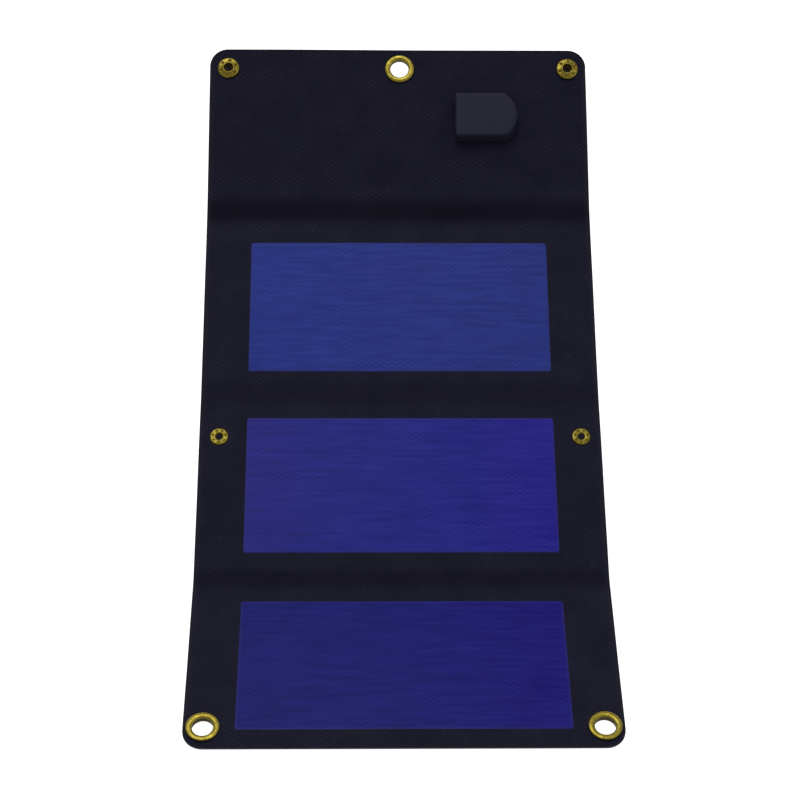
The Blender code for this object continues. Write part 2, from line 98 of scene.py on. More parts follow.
FLAP_UP, LAST_UP = -SEATS["eyelet_top_seat"], -SEATS["eyelet_left_seat"]
KNOTS = [far_end("section_3_back_cover", CREASES[0], LAST_UP), *CREASES,
         far_end("flap_back_cloth", CREASES[-1], FLAP_UP)]
STATIONS = [0.0]
for a, b in zip(KNOTS, KNOTS[1:]):
    STATIONS.append(STATIONS[-1] + (b - a).length)
FREE_EDGE, C2, C1, B2, B1, A1, A2, FLAP_EDGE = STATIONS
MIDDLE_A, MIDDLE_B, MIDDLE_C = (A1 + A2) / 2, (B1 + B2) / 2, (C1 + C2) / 2
WIDTH = CAD_BOX[1][0] - CAD_BOX[0][0]
HALF_WIDTH = WIDTH / 2
CORNER = 10.4 * MM  # the rounding of the sheet's corners

SECTION_HALF, FLAP_HALF, BAND_HALF = 1.1 * MM, 0.85 * MM, 0.6 * MM  # half the laminate's thickness
FOLD_EASE = 2.1 * MM  # how far a fold's curve reaches on each side of its crease
FOLD_START, FOLD_SLOPE = 0.5 * MM, 3.5 * MM  # where in its band a fold starts to thicken, and over what length
RIM_WIDTH, RIM_SLOPE, RIM_DEPTH = 2.2 * MM, 2.6 * MM, 0.3 * MM  # the pressed rim along the cut edges
EDGE_ROUND, EDGE_SHARE = 0.35 * MM, 0.72  # the cut edge's rounding and the share of thickness left there
CALM_REACH = 18 * MM  # near a crease or the free edge the sheet lies flat
CELL_RISE, CELL_SLOPE = 0.10 * MM, 2.2 * MM  # how the cloth rises to the film over a cell
HOLE_RADIUS = 5.6  # of the holes under the eyelets, in millimetres
EYELET_PRESS, SOCKET_PRESS, POST_PRESS = 8.5 * MM, 6.3 * MM, 5.4 * MM  # the brass pieces' edges on the cloth


def smooth(t):
    """0 below 0, 1 above 1, and a soft step between."""
    t = np.clip(t, 0, 1)
    return t * t * (3 - 2 * t)


def spine(s):
    """The middle line at stations s: its Y and Z, and its direction, rounded at each crease."""
    s = np.asarray(s, float)
    knots = np.array([(k.y, k.z) for k in KNOTS])
    place = np.stack([np.interp(s, STATIONS, knots[:, i]) for i in (0, 1)], -1)
    runs = np.diff(knots, axis=0)
    runs /= np.linalg.norm(runs, axis=1)[:, None]
    which = np.clip(np.searchsorted(STATIONS, s, side="right") - 1, 0, len(runs) - 1)
    course = runs[which].copy()
    for i in range(1, len(KNOTS) - 1):
        t = (s - STATIONS[i] + FOLD_EASE) / (2 * FOLD_EASE)
        near = (t > 0) & (t < 1)
        before, after = runs[i - 1], runs[i]
        t = t[..., None]
        curve = knots[i] - before * FOLD_EASE * (1 - t) ** 2 + after * FOLD_EASE * t ** 2
        place = np.where(near[..., None], curve, place)
        course = np.where(near[..., None], before * (1 - t) + after * t, course)
    return place, course / np.linalg.norm(course, axis=-1, keepdims=True)


def lay(x, s, height):
    """Points of the sheet: x across, s along the unfolded sheet, height above its middle line."""
    place, course = spine(s)
    y = place[..., 0] - course[..., 1] * height
    z = place[..., 1] + course[..., 0] * height
    return np.stack([np.broadcast_to(x, y.shape), y, z], -1)


def station(point):
    """The station of a point of the model, from the run of the middle line nearest to it."""
    best = None
    for i, (a, b) in enumerate(zip(KNOTS, KNOTS[1:])):
        run = b - a
        t = min(max((Vector((0, point[1], point[2])) - a).dot(run) / run.length_squared, 0), 1)
        gap = (a + run * t - Vector((0, point[1], point[2]))).length
        if best is None or gap < best[0]:
            best = (gap, STATIONS[i] + t * run.length)
    return best[1]


def centre(node):
    """(x, station) of the middle of a CAD node's box."""
    low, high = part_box(node)
    middle = (low + high) / 2
    return middle.x, station(middle)


def local_frame(x, s, height=0.0):
    """A matrix at a point of the sheet: X across, Y along towards the flap, Z up from its face."""
    place, course = spine(s)
    along, up = Vector((0, *course)), Vector((0, -course[1], course[0]))
    turn = Matrix((Vector((1, 0, 0)), along, up)).transposed().to_4x4()
    return Matrix.Translation(Vector(lay(x, s, height))) @ turn


# ---- the brass pieces' places ----
EYELETS = {name: centre(name) for name in ("eyelet_top", "eyelet_left", "eyelet_right")}
SOCKETS = {side: centre("snap_socket_" + side) for side in ("left", "right")}
POSTS = {side: centre("snap_post_" + side) for side in ("left", "right")}
PRESSED = [(x, s, EYELET_PRESS) for x, s in EYELETS.values()]
PRESSED += [(x, s, SOCKET_PRESS) for x, s in SOCKETS.values()]
PRESSED += [(x, s, POST_PRESS) for x, s in POSTS.values()]

# ---- the cells' places ----
CELLS = {}
for n in (1, 2, 3):
    low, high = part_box(f"section_{n}_solar_cell")
    reach = [station(p) for p in cad_points(f"section_{n}_solar_cell")]
    CELLS[n] = (low.x, high.x, min(reach), max(reach))


# ---- the laminate's shape ----
def inside_distance(x, s):
    """How far a point of the sheet lies inside its outline, which has rounded corners."""
    across = HALF_WIDTH - abs(x)
    ends = np.minimum(s - FREE_EDGE, FLAP_EDGE - s)
    corner = CORNER - np.hypot(np.maximum(CORNER - across, 0), np.maximum(CORNER - ends, 0))
    in_corner = (across < CORNER) & (ends < CORNER)
    return np.where(in_corner, corner, np.minimum(across, ends))


def half_thickness(x, s):
    """Half the laminate's thickness: full over the boards, thin in the folds and along the rim."""
    body = np.where(s > MIDDLE_A, FLAP_HALF, SECTION_HALF)
    fold = np.zeros_like(body)
    for low, high in ((C2, C1), (B2, B1), (A1, A2)):
        middle, reach = (low + high) / 2, (high - low) / 2
        fold = np.maximum(fold, 1 - smooth((abs(s - middle) - reach + FOLD_START) / FOLD_SLOPE))
    body = body + (BAND_HALF - body) * fold
    rim = inside_distance(x, s)
    pressed = 1 - smooth((rim - RIM_WIDTH) / RIM_SLOPE)
    body = body - RIM_DEPTH * pressed * (1 - fold)
    cut = np.clip(rim / EDGE_ROUND, 0, 1)
    return body * (EDGE_SHARE + (1 - EDGE_SHARE) * np.sqrt(1 - (1 - cut) ** 2))


def waviness(x, s):
    """The slow unevenness of a hand-laid laminate, less than half a millimetre."""
    slow = np.sin(31 * x + 1.3) * np.sin(23 * s + 0.4) + 0.6 * np.sin(52 * x - 37 * s + 2.0)
    edge = np.sin(70 * s + 0.8) * (x / HALF_WIDTH) ** 4
    edge = edge + 0.5 * np.sin(120 * s + 2.1 + 30 * x) * (x / HALF_WIDTH) ** 6
    flap = smooth((s - A2) / (40 * MM)) * np.sin(26 * x + 0.5) * np.sin(38 * (s - A2) + 0.7)
    calm = smooth((s - FREE_EDGE) / CALM_REACH)
    for crease in STATIONS[1:-1]:
        calm = np.minimum(calm, smooth(abs(s - crease) / CALM_REACH))
    return MM * (0.10 * slow + 0.16 * edge + 0.22 * flap) * calm


def front(x, s):
    """Height of the front face above the middle line."""
    x, s = np.broadcast_arrays(np.asarray(x, float), np.asarray(s, float))
    height = half_thickness(x, s) + waviness(x, s)
    for n, (left, right, low, high) in CELLS.items():
        outside = np.hypot(np.maximum(np.maximum(left - x, x - right), 0),
                           np.maximum(np.maximum(low - s, s - high), 0))
        inside = np.minimum(np.minimum(x - left, right - x), np.minimum(s - low, high - s))
        height = height + CELL_RISE * smooth(1 - outside / CELL_SLOPE) * (inside < 0)
        height = height + CELL_RISE * (inside >= 0)
    for cx, cs, radius in PRESSED:
        away = np.hypot(x - cx, s - cs) - radius
        height = height - 0.16 * MM * smooth(1 - away / (1.4 * MM)) * (away < 3 * MM)
        height = height + 0.10 * MM * np.exp(-((away - 2.4 * MM) / (1.1 * MM)) ** 2)
    return height


def back(x, s):
    """Height of the back face, below the middle line."""
    x, s = np.broadcast_arrays(np.asarray(x, float), np.asarray(s, float))
    height = waviness(x, s) - half_thickness(x, s)
    for cx, cs, radius in PRESSED:
        away = np.hypot(x - cx, s - cs) - radius
        height = height - 0.08 * MM * np.exp(-((away - 2.2 * MM) / (1.1 * MM)) ** 2)
    return height


def half_width(s):
    """Half the sheet's width at a station, less in the rounded corners."""
    end = np.minimum(s - FREE_EDGE, FLAP_EDGE - s)
    short = CORNER - np.clip(end, 0, CORNER)
    return HALF_WIDTH - CORNER + np.sqrt(np.maximum(CORNER ** 2 - short ** 2, 0))


EDGE_STEPS = [0, 0.1, 0.22, 0.4, 0.9, 1.6, 2.4, 3.2, 4.0, 5.0]  # millimetres in from a cut edge
CORNER_STEPS = [6.2, 7.6, 9.0, 10.4, 12.0]
FOLD_STEPS = [0, 0.3, 1.0, 1.8, 2.6, 3.4, 4.4, 6]  # millimetres from the middle of a fold or of a section
PITCH = 2.4 * MM


def spread(low, high, start, end):
    """Values from low to high: the given steps (mm) at each end, and even ones between."""
    left = [low + d * MM for d in start]
    right = [high - d * MM for d in end]
    count = max(int(round((right[-1] - left[-1]) / PITCH)), 1)
    between = np.linspace(left[-1], right[-1], count + 1)[1:-1]
    return np.array(left + list(between) + right[::-1])


def smooth_shaded(mesh, angle=38):
    """Smooth shading, with edges steeper than an angle left sharp."""
    mesh.shade_smooth()
    mesh.set_sharp_from_angle(angle=math.radians(angle))


def new_object(name, points, faces, materials=()):
    """A mesh object of the given points and faces."""
    mesh = bpy.data.meshes.new(name)
    mesh.from_pydata([tuple(p) for p in points], [], [tuple(f) for f in faces])
    mesh.update()
    for m in materials:
        mesh.materials.append(m)
    obj = bpy.data.objects.new(name, mesh)
    bpy.context.scene.collection.objects.link(obj)
    return obj


def flat_map(obj, flat):
    """Gives a mesh a UV map of its place on the unfolded sheet, in metres."""
    layer = obj.data.uv_layers.new(name="sheet")
    index = np.zeros(len(obj.data.loops), int)
    obj.data.loops.foreach_get("vertex_index", index)
    layer.data.foreach_set("uv", np.asarray(flat, np.float32)[index].ravel())


def slab(name, x, s, top, bottom, materials, wall=1):
    """A closed piece between two faces over a grid of the sheet: x of each point, and s of each row."""
    rows, columns = x.shape
    s = np.broadcast_to(s[:, None], x.shape)
    points = np.concatenate([lay(x, s, top(x, s)).reshape(-1, 3), lay(x, s, bottom(x, s)).reshape(-1, 3)])
    flat = np.stack([x.ravel(), s.ravel()], -1)
    index = np.arange(rows * columns).reshape(rows, columns)
    under = rows * columns
    quads = np.stack([index[:-1, :-1], index[:-1, 1:], index[1:, 1:], index[1:, :-1]], -1).reshape(-1, 4)
    faces = [*quads, *(quads[:, ::-1] + under)]
    ring = [*index[0, :-1], *index[:-1, -1], *index[-1, :0:-1], *index[:0:-1, 0]]
    walls = [(a, a + under, b + under, b) for a, b in zip(ring, ring[1:] + ring[:1])]
    obj = new_object(name, points, [*faces, *walls], materials)
    flat_map(obj, np.concatenate([flat, flat]))
    for polygon in obj.data.polygons[len(faces):]:
        polygon.material_index = wall
    smooth_shaded(obj.data)
    return obj


def baked(obj):
    """Applies the modifiers of an object."""
    bpy.context.view_layer.update()
    evaluated = obj.evaluated_get(bpy.context.evaluated_depsgraph_get())
    mesh = bpy.data.meshes.new_from_object(evaluated)
    obj.modifiers.clear()
    obj.data = mesh
    return obj


def cut_away(obj, *cutters):
    """Takes the cutters' solids out of an object and removes them."""
    for cutter in cutters:
        cut = obj.modifiers.new("cut", "BOOLEAN")
        cut.operation, cut.object, cut.solver = "DIFFERENCE", cutter, "EXACT"
    baked(obj)
    for cutter in cutters:
        bpy.data.objects.remove(cutter)


def loft(name, rings, materials=(), inward=False):
    """A closed solid through rings of points in millimetres, shut flat at both ends."""
    count, last = len(rings[0]), (len(rings) - 1) * len(rings[0])
    points = [tuple(c * MM for c in p) for ring in rings for p in ring]
    faces = [tuple(range(count))[::-1], tuple(range(last, last + count))]
    for start in range(0, last, count):
        for i in range(count):
            j = (i + 1) % count
            faces.append((start + i, start + j, start + count + j, start + count + i))
    if inward:
        faces = [face[::-1] for face in faces]
    return new_object(name, points, faces, materials)


def drill(obj, x, s, radius, sides=64, reach=6):
    """Cuts a round hole straight through a laminate piece; radius and reach in millimetres."""
    turns = [2 * math.pi * i / sides for i in range(sides)]
    cutter = loft(obj.name + "_cutter", [[(radius * math.cos(a), radius * math.sin(a), height) for a in turns]
                                         for height in (-reach, reach)])
    cutter.matrix_world = local_frame(x, s)
    cut_away(obj, cutter)


# ---- materials ----
class Shader:
    """A node material under construction."""

    def __init__(self, name, **inputs):
        self.material = bpy.data.materials.new(name)
        self.material.use_nodes = True
        self.nodes, self.links = self.material.node_tree.nodes, self.material.node_tree.links
        self.bsdf = self.nodes["Principled BSDF"]
        for key, value in inputs.items():
            self.bsdf.inputs[key.replace("_", " ")].default_value = value

    def add(self, kind, _inputs=None, **settings):
        """A new node with its settings and inputs."""
        node = self.nodes.new("ShaderNode" + kind)
        for key, value in settings.items():
            setattr(node, key, value)
        for key, value in (_inputs or {}).items():
            self.plug(node, key, value)
        return node

    def plug(self, node, key, value):
        """Links a node's output, or sets a constant."""
        if isinstance(value, bpy.types.NodeSocket):
            self.links.new(value, node.inputs[key])
        elif isinstance(value, bpy.types.Node):
            self.links.new(value.outputs[0], node.inputs[key])
        else:
            node.inputs[key].default_value = value

    def math(self, operation, a, b=0.0):
        return self.add("Math", {0: a, 1: b}, operation=operation).outputs[0]

    def remap(self, value, low, high, to_low, to_high):
        return self.add("MapRange", {"Value": value, "From Min": low, "From Max": high,
                                     "To Min": to_low, "To Max": to_high}).outputs[0]

    def noise(self, vector, scale, detail=3.0, roughness=0.5):
        return self.add("TexNoise", {"Vector": vector, "Scale": scale, "Detail": detail,
                                     "Roughness": roughness}).outputs[0]

    def mix(self, factor, a, b):
        """The colour between a and b; the node's sockets share names, so they go by number."""
        node = self.add("Mix", data_type="RGBA")
        for socket, value in ((node.inputs[0], factor), (node.inputs[6], a), (node.inputs[7], b)):
            if isinstance(value, bpy.types.NodeSocket):
                self.links.new(value, socket)
            else:
                socket.default_value = value
        return node.outputs[2]

    def bump(self, height, distance, strength=1.0):
        node = self.add("Bump", {"Height": height, "Distance": distance, "Strength": strength})
        self.links.new(node.outputs["Normal"], self.bsdf.inputs["Normal"])

    def ramp(self, value, stops):
        node = self.add("ValToRGB", {0: value})
        elements = node.color_ramp.elements
        while len(elements) < len(stops):
            elements.new(0.5)
        for element, (place, colour) in zip(elements, stops):
            element.position, element.color = place, colour
        return node.outputs[0]


def grey(value):
    return (value, value, value, 1)


CHECK = (2.15 * MM, 1.42 * MM)  # one square of the pressed grain, across and along the sheet
WEAVE = 0.62 * MM  # the pitch of the cloth's threads
CLOTH_DARK, CLOTH_LIGHT = (0.0073, 0.0075, 0.0182, 1), (0.0100, 0.0100, 0.0225, 1)
CLOTH_HIGH, CLOTH_THREAD = (0.0205, 0.0198, 0.0385, 1), (0.0240, 0.0225, 0.0380, 1)
# the darkest tone here is painted shade for the folds and the flap; the rim tone is the paler pressed rim
CLOTH_PAINTED_SHADE, CLOTH_RIM = (0.0022, 0.0018, 0.0070, 1), (0.0190, 0.0185, 0.0260, 1)
FOLDS = ((C2, C1, 0.55), (B2, B1, 0.32), (A1, A2, 0.85))  # each fold's edges and how much painted shade darkens it


def sheet_place(shader):
    """(x, s) on the unfolded sheet, from the UV map."""
    uv = shader.add("UVMap", uv_map="sheet").outputs[0]
    parts = shader.add("SeparateXYZ", {0: uv})
    return uv, parts.outputs[0], parts.outputs[1]


def checks(shader, x, s):
    """The pressed grain, a basket weave of small lozenges that stand out and sink in, from -1 to 1."""
    a = shader.math("COSINE", shader.math("MULTIPLY", x, math.pi / CHECK[0]))
    b = shader.math("COSINE", shader.math("MULTIPLY", s, math.pi / CHECK[1]))
    return shader.math("MULTIPLY", a, b)


def laminate_material():
    """Black laminated cloth: a pressed grain over a weave, with painted shade in the folds and over the flap, and
    paler at the rim.
    """
    m = Shader("black_laminate_cloth", Roughness=0.6)
    m.bsdf.inputs["Specular IOR Level"].default_value = 0.04
    uv, x, s = sheet_place(m)
    grain = checks(m, x, s)
    weave = m.math("MULTIPLY", m.math("SINE", m.math("MULTIPLY", x, 2 * math.pi / WEAVE)),
                   m.math("SINE", m.math("MULTIPLY", s, 2 * math.pi / WEAVE)))
    patches = m.noise(uv, 26, 4)
    broad = m.noise(uv, 9, 2)
    speckle = m.noise(uv, 420, 2)
    base = m.mix(m.remap(patches, 0.3, 0.7, 0, 1), CLOTH_DARK, CLOTH_LIGHT)
    worn = m.math("MULTIPLY", m.remap(m.noise(uv, 55, 3), 0.35, 0.65, 0.1, 0.72),
                  m.remap(s, MIDDLE_A - 20 * MM, MIDDLE_A + 10 * MM, 0.68, 1))
    base = m.mix(m.math("MULTIPLY", m.remap(grain, -1, 1, 0, 1), worn), base, CLOTH_HIGH)
    base = m.mix(m.remap(speckle, 0.58, 0.75, 0, 0.4), base, CLOTH_THREAD)
    # painted shade: from crease A on, the whole flap is darkened towards the shade tone
    base = m.mix(m.remap(s, MIDDLE_A - 4 * MM, MIDDLE_A + 22 * MM, 0, 0.30), base, CLOTH_PAINTED_SHADE)
    # painted shade along each fold, made patchy with broad noise
    for low, high, strength in FOLDS:
        away = m.math("ABSOLUTE", m.math("SUBTRACT", s, (low + high) / 2))
        fold = m.remap(away, (high - low) / 2 - 1.5 * MM, (high - low) / 2 + 6 * MM, strength, 0)
        base = m.mix(m.math("MULTIPLY", fold, m.remap(broad, 0.3, 0.7, 0.8, 1.1)), base, CLOTH_PAINTED_SHADE)
    across = m.math("SUBTRACT", HALF_WIDTH, m.math("ABSOLUTE", x))
    base = m.mix(m.remap(across, 0.6 * MM, 3.6 * MM, 0.45, 0), base, CLOTH_RIM)
    m.links.new(base, m.bsdf.inputs["Base Color"])
    m.links.new(m.remap(patches, 0.3, 0.7, 0.54, 0.66), m.bsdf.inputs["Roughness"])
    height = m.math("ADD", m.math("MULTIPLY", grain, 0.4), m.math("MULTIPLY", weave, 0.14))
    height = m.math("ADD", height, m.math("MULTIPLY", m.noise(uv, 900, 2), 0.3))
    m.bump(height, 0.10 * MM, 0.9)
    return m.material


def cut_edge_material():
    """The raw cut edge, where the layers show as a lighter fibrous line."""
    m = Shader("laminate_cut_edge", Roughness=0.8)
    m.bsdf.inputs["Specular IOR Level"].default_value = 0.2
    place = m.add("TexCoord").outputs["Object"]
    fibres = m.noise(place, 1400, 3)
    m.links.new(m.mix(m.remap(fibres, 0.35, 0.7, 0, 1), (0.022, 0.023, 0.029, 1), (0.060, 0.062, 0.070, 1)),
                m.bsdf.inputs["Base Color"])
    m.bump(fibres, 0.08 * MM)
    return m.material


CELL_TONES_AND_SHEEN = {  # left, middle, right, partly the cells' own tint and partly painted reflection (brighter on section 1, darker on section 3, more violet to the right), and the paler tone of the lines and of the raised grain
    1: ((0.0080, 0.0195, 0.180, 1), (0.0110, 0.0215, 0.170, 1), (0.0122, 0.0232, 0.157, 1),
        (0.028, 0.047, 0.31, 1)),
    2: ((0.0120, 0.0127, 0.148, 1), (0.0064, 0.0114, 0.175, 1), (0.0094, 0.0042, 0.200, 1),
        (0.025, 0.025, 0.30, 1)),
    3: ((0.0066, 0.0083, 0.104, 1), (0.0066, 0.0072, 0.122, 1), (0.0082, 0.0030, 0.135, 1),
        (0.019, 0.018, 0.23, 1)),
}
CELL_RIM = (0.030, 0.030, 0.130, 1)


def cell_material(n):
    """Deep blue thin-film cells under a clear pressed film, a little more violet to the right; their tones are
    partly their own tint and partly painted reflection.
    """
    left, right, low, high = CELLS[n]
    m = Shader(f"solar_cell_{n}", Roughness=0.36)
    m.bsdf.inputs["Specular IOR Level"].default_value = 0.05
    uv, x, s = sheet_place(m)
    grain = checks(m, x, s)
    across = m.remap(x, left, right, 0, 1)
    drawn_out = m.add("CombineXYZ", {0: m.math("MULTIPLY", x, 0.09), 1: s, 2: 0.17 * n}).outputs[0]
    streaks = m.noise(drawn_out, 430, 3, 0.6)
    cloud = m.noise(uv, 40, 3)
    *tones, pale = CELL_TONES_AND_SHEEN[n]
    # partly painted reflection: the base runs through the section's tones from left to right
    base = m.ramp(across, list(zip((0.0, 0.5, 1.0), tones)))
    base = m.mix(m.remap(streaks, 0.38, 0.66, 0, 0.42), base, pale)
    raised = m.math("MULTIPLY", m.remap(grain, -1, 1, 0, 0.46), m.remap(cloud, 0.35, 0.65, 0.3, 1))
    base = m.mix(raised, base, pale)
    inside = m.math("MINIMUM", m.math("MINIMUM", m.math("SUBTRACT", x, left), m.math("SUBTRACT", right, x)),
                    m.math("MINIMUM", m.math("SUBTRACT", s, low), m.math("SUBTRACT", high, s)))
    base = m.mix(m.remap(inside, 0.3 * MM, 1.6 * MM, 0.5, 0), base, CELL_RIM)
    m.links.new(base, m.bsdf.inputs["Base Color"])
    m.links.new(m.remap(m.noise(uv, 60, 3), 0.3, 0.7, 0.35, 0.41), m.bsdf.inputs["Roughness"])
    m.bsdf.inputs["Coat Weight"].default_value = 0.02
    m.bsdf.inputs["Coat Roughness"].default_value = 0.25
    height = m.math("ADD", m.math("MULTIPLY", grain, 0.5), m.math("MULTIPLY", m.noise(uv, 700, 2), 0.6))
    m.bump(height, 0.05 * MM, 0.8)
    return m.material


def brass_material(name, bright, warmth=0.80):
    """Olive-gold plated brass, duller in patches and finely scratched."""
    m = Shader(name, Metallic=1.0, Roughness=0.32)
    place = m.add("TexCoord").outputs["Object"]
    patches = m.noise(place, 380, 4, 0.6)
    stains = m.noise(place, 900, 3)
    clean = (0.44 * bright, 0.44 * warmth * bright, 0.058 * bright, 1)
    dull = (0.29 * bright, 0.29 * warmth * bright, 0.030 * bright, 1)
    stained = (0.09 * bright, 0.06 * bright, 0.012 * bright, 1)
    base = m.mix(m.remap(patches, 0.35, 0.65, 0, 1), clean, dull)
    base = m.mix(m.remap(stains, 0.52, 0.72, 0, 0.7), base, stained)
    m.links.new(base, m.bsdf.inputs["Base Color"])
    m.links.new(m.remap(patches, 0.3, 0.7, 0.25, 0.42), m.bsdf.inputs["Roughness"])
    m.bump(m.noise(place, 2600, 2), 0.012 * MM, 0.5)
    return m.material


def plastic_material(name, colour, roughness=0.48, texture=1500, depth=0.02, specular=0.4):
    """Moulded plastic with a fine spark-eroded texture."""
    m = Shader(name, Roughness=roughness)
    m.bsdf.inputs["Specular IOR Level"].default_value = specular
    place = m.add("TexCoord").outputs["Object"]
    patches = m.noise(place, 90, 3)
    m.links.new(m.mix(m.remap(patches, 0.3, 0.7, 0, 1), tuple(c * 0.86 for c in colour[:3]) + (1,), colour),
                m.bsdf.inputs["Base Color"])
    m.links.new(m.remap(patches, 0.3, 0.7, roughness - 0.05, roughness + 0.06), m.bsdf.inputs["Roughness"])
    m.bump(m.noise(place, texture, 2), depth * MM, 0.6)
    return m.material


def steel_material():
    """Bright stamped steel, drawn along its length."""
    m = Shader("brushed_steel", Metallic=1.0, Roughness=0.3)
    place = m.add("TexCoord").outputs["Object"]
    drawn = m.noise(m.add("Mapping", {"Vector": place, "Scale": (1.0, 14.0, 14.0)}), 260, 3)
    m.links.new(m.mix(m.remap(drawn, 0.3, 0.7, 0, 1), grey(0.42), grey(0.62)), m.bsdf.inputs["Base Color"])
    m.links.new(m.remap(drawn, 0.3, 0.7, 0.24, 0.38), m.bsdf.inputs["Roughness"])
    m.bump(drawn, 0.01 * MM, 0.4)
    return m.material


def board_material(name, light, dark, scale, roughness):
    """A printed board or a pressed board: two tones in a fine fibre pattern."""
    m = Shader(name, Roughness=roughness)
    place = m.add("TexCoord").outputs["Object"]
    fibre = m.noise(place, scale, 4)
    m.links.new(m.mix(m.remap(fibre, 0.35, 0.65, 0, 1), light, dark), m.bsdf.inputs["Base Color"])
    m.bump(fibre, 0.03 * MM, 0.5)
    return m.material


LAMINATE, CUT_EDGE = laminate_material(), cut_edge_material()
BRASS, SNAP_BRASS = brass_material("worn_brass", 0.72), brass_material("snap_brass", 0.60, 0.78)
POST_BRASS = brass_material("post_brass", 0.40, 0.80)
# painted shade: a darker brass for the walls of holes and the rims that meet the cloth, where shade falls
BRASS_PAINTED_SHADE = plastic_material("brass_painted_shade", (0.030, 0.019, 0.006, 1), 0.6, specular=0.08)
HOUSING = plastic_material("box_housing_plastic", (0.0180, 0.0185, 0.0350, 1), 0.5, specular=0.08)
STEEL = steel_material()
TONGUE = plastic_material("tongue_plastic", (0.62, 0.62, 0.60, 1), 0.4)
CHIP = plastic_material("component_plastic", (0.03, 0.03, 0.03, 1), 0.55, 2200)
CIRCUIT = board_material("circuit_board_mask", (0.010, 0.085, 0.030, 1), (0.016, 0.120, 0.045, 1),
                         900, 0.35)
STIFFENER = board_material("stiffener_pressboard", grey(0.045), grey(0.085), 500, 0.8)
CABLE = board_material("flat_cable_copper_film", (0.36, 0.15, 0.04, 1), (0.46, 0.22, 0.07, 1), 300, 0.4)


# ---- the laminate: six pieces that meet in the folds and behind the cells ----
def laminate(name, low, high):
    """A length of the sheet between two stations, with its cut edges at the sides and at a free end."""
    free_ends = (low == FREE_EDGE, high == FLAP_EDGE)
    rows = spread(low, high, *(EDGE_STEPS + CORNER_STEPS if free else FOLD_STEPS for free in free_ends))
    columns = spread(-HALF_WIDTH, HALF_WIDTH, EDGE_STEPS, EDGE_STEPS) / HALF_WIDTH
    x = columns[None, :] * half_width(rows)[:, None]
    return slab(name, x, rows, front, back, (LAMINATE, CUT_EDGE))


def crease_blend(piece, crease):
    """Bakes a laminate piece's placement into its mesh; the piece is not bent about the crease."""
    start, end = (Vector(lay(0.0, crease + side * FOLD_EASE, 0.0)) for side in (-1, 1))
    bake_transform(piece)


MIDDLE_1, MIDDLE_2 = (A1 + B1) / 2, (B2 + C1) / 2
LAMINATES = [
    ("laminate_section_3", FREE_EDGE, MIDDLE_C, "section_3", "band_c", C2,
     ["section_3_back_cover", "section_3_front_cloth"]),
    ("laminate_section_2_lower", MIDDLE_C, MIDDLE_2, "band_c", "section_2", C1,
     ["fold_c_strip", "section_2_front_cloth"]),
    ("laminate_section_2_upper", MIDDLE_2, MIDDLE_B, "section_2", "band_b", B2,
     ["section_2_back_cover"]),
    ("laminate_section_1_lower", MIDDLE_B, MIDDLE_1, "band_b", "section_1", B1,
     ["fold_b_strip", "section_1_front_cloth"]),
    ("laminate_section_1_upper", MIDDLE_1, MIDDLE_A, "section_1", "band_a", A1,
     ["section_1_back_cover"]),
    ("laminate_flap", MIDDLE_A, FLAP_EDGE, "band_a", "flap", A2,
     ["fold_a_strip", "flap_back_cloth", "flap_front_cloth"]),
]
for name, low, high, first, second, crease, nodes in LAMINATES:
    piece = laminate(name, low, high)
    for x, s in EYELETS.values():
        if low < s < high:
            drill(piece, x, s, HOLE_RADIUS)
    smooth_shaded(piece.data)
    crease_blend(piece, crease)
    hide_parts(*nodes)


# ---- the cells under their film ----
PLATE_STEPS, PLATE_CORNER = [0, 0.15, 0.4, 0.8, 1.4, 2.2], 1.6 * MM
PLATE_SUNK, PLATE_RISE, PLATE_DEPTH = -0.10, 0.20, 0.32  # in millimetres: the edge, its rise, and the back


def cell_plate(n):
    """The blue plate of section n: its face a little above the cloth, its soft edge sunk into it."""
    left, right, low, high = CELLS[n]
    columns, rows = (spread(*ends, PLATE_STEPS, PLATE_STEPS) for ends in ((left, right), (low, high)))
    corner = PLATE_CORNER

    def edge(x, s):
        across, ends = np.minimum(x - left, right - x), np.minimum(s - low, high - s)
        round_off = corner - np.hypot(np.maximum(corner - across, 0), np.maximum(corner - ends, 0))
        return np.where((across < corner) & (ends < corner), round_off, np.minimum(across, ends))

    def top(x, s):
        return front(x, s) + MM * (PLATE_SUNK + PLATE_RISE * smooth(edge(x, s) / (0.7 * MM) + 0.25))

    def bottom(x, s):
        return front(x, s) - PLATE_DEPTH * MM

    x = np.broadcast_to(columns[None, :], (len(rows), len(columns)))
    piece = slab(f"section_{n}_cell_plate", x, rows, top, bottom, (cell_material(n),), wall=0)
    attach(piece, f"section_{n}")
    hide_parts(f"section_{n}_solar_cell", f"section_{n}_clear_film")


for n in CELLS:
    cell_plate(n)


# ---- turned brass ----
def rounded(profile, rounds=2):
    """A closed profile with its corners cut and cut again, as pressed metal has them."""
    for _ in range(rounds):
        cut = []
        for (r0, h0), (r1, h1) in zip(profile, profile[1:] + profile[:1]):
            cut += [(near * r0 + (1 - near) * r1, near * h0 + (1 - near) * h1) for near in (0.75, 0.25)]
        profile = cut
    return profile


def even(profile, step):
    """A closed profile with points added where they lie more than step apart."""
    points = []
    for (r0, h0), (r1, h1) in zip(profile, profile[1:] + profile[:1]):
        count = max(int(math.ceil(math.hypot(r1 - r0, h1 - h0) / step)), 1)
        points += [(r0 + (r1 - r0) * i / count, h0 + (h1 - h0) * i / count) for i in range(count)]
    return points


